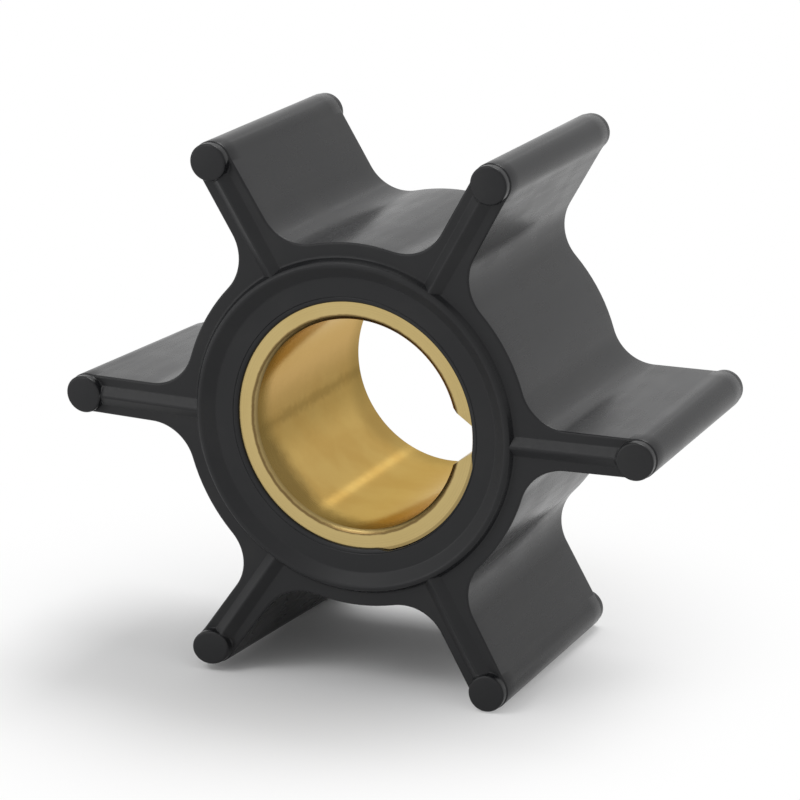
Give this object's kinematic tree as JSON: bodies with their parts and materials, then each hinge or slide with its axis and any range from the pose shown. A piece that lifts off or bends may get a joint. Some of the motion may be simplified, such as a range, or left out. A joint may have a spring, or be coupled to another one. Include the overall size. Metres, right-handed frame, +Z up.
{
  "type": "pump impeller",
  "caption": "Flexible rubber water-pump impeller on a keyed brass insert: radial vanes with round sealing tips, side ribs and a seal ring.",
  "frame": {"origin": "centre of the shaft bore, half-way along it", "axes": "+Z up as it stands on two vanes, Y along the shaft bore with the front side face towards -Y, +X towards the vane that the key slot points at"},
  "size_m": [0.0646, 0.0288, 0.0564],
  "materials": {
    "black_rubber": "moulded satin",
    "turned_brass": "turned, slightly dull"
  },
  "bodies": {
    "root": {"vane_body": "black_rubber", "brass_insert": "turned_brass"}
  },
  "joints": []
}
